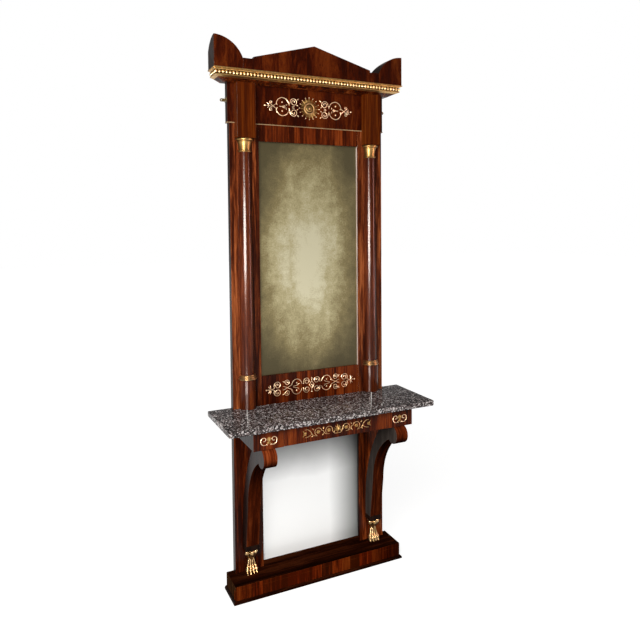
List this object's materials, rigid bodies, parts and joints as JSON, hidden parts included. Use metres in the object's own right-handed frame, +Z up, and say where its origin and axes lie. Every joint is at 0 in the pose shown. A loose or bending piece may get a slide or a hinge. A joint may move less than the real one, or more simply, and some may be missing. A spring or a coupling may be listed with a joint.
{
  "type": "framed mirror",
  "caption": "Tall polished-wood pier mirror with half columns, gilt mounts and a pediment, on a marble-topped console with scroll legs, paw feet, a lower mirror and a drawer.",
  "frame": {"origin": "on the floor, in the middle of the outer box, which is the outline of the marble top", "axes": "+Z up, -Y out of the front, away from the wall, +X to the viewer's right"},
  "size_m": [1.02, 0.334, 2.53],
  "materials": {
    "rosewood_veneer": "high gloss polish",
    "ebonised_wood": "satin polish",
    "pale_string": "satin polish",
    "pine": "raw",
    "giltwood": "worn gilding",
    "gilt_brass": "satin gilt",
    "dark_marble": "polished",
    "aged_silvering": "aged silvering",
    "clear_silvering": "polished",
    "steel": "dull"
  },
  "bodies": {
    "stand": {"ankle_blocks": "ebonised_wood", "apron_back_rail": "pine", "apron_end_block_left": "rosewood_veneer", "apron_end_block_right": "rosewood_veneer", "apron_end_mounts": "gilt_brass", "apron_side_rails": "ebonised_wood", "column_base_rings": "gilt_brass", "column_capitals": "gilt_brass", "column_pedestals": "rosewood_veneer", "column_shafts": "rosewood_veneer", "cornice_bed_mould": "rosewood_veneer", "cornice_core": "pine", "dosserets": "rosewood_veneer", "drawer_guides": "pine", "drawer_runners": "pine", "drawer_stops": "pine", "frieze_board": "rosewood_veneer", "frieze_fillet": "pale_string", "frieze_mount": "gilt_brass", "gilt_cornice_front": "giltwood", "gilt_cornice_returns": "giltwood", "lower_backboard": "pine", "lower_bottom_rail": "rosewood_veneer", "lower_glazing_slips": "pine", "lower_mirror_plate": "clear_silvering", "lower_rail_mount": "gilt_brass", "lower_stile_left": "rosewood_veneer", "lower_stile_right": "rosewood_veneer", "lower_top_rail": "rosewood_veneer", "marble_top": "dark_marble", "paw_feet": "giltwood", "pediment_board": "rosewood_veneer", "pediment_braces": "pine", "pediment_ear_left": "rosewood_veneer", "pediment_ear_right": "rosewood_veneer", "plinth_back_rail": "pine", "plinth_corner_blocks": "pine", "plinth_ends": "rosewood_veneer", "plinth_front": "rosewood_veneer", "plinth_moulding_front": "rosewood_veneer", "plinth_moulding_returns": "rosewood_veneer", "plinth_top": "rosewood_veneer", "scroll_leg_left": "rosewood_veneer", "scroll_leg_right": "rosewood_veneer", "upper_backboard": "pine", "upper_bottom_rail": "rosewood_veneer", "upper_glazing_slips": "pine", "upper_mirror_plate": "aged_silvering", "upper_stile_left": "rosewood_veneer", "upper_stile_right": "rosewood_veneer", "upper_top_rail": "rosewood_veneer", "wall_eyes": "gilt_brass", "wood_screws": "steel"},
    "drawer": {"drawer_front": "rosewood_veneer", "drawer_side_left": "pine", "drawer_side_right": "pine", "drawer_back": "pine", "drawer_bottom": "pine", "apron_centre_mount": "gilt_brass"}
  },
  "joints": [
    {"name": "drawer_slide", "type": "slide", "parent": "stand", "child": "drawer", "axis": [0, -1, 0], "range_m": [0, 0.15]}
  ]
}
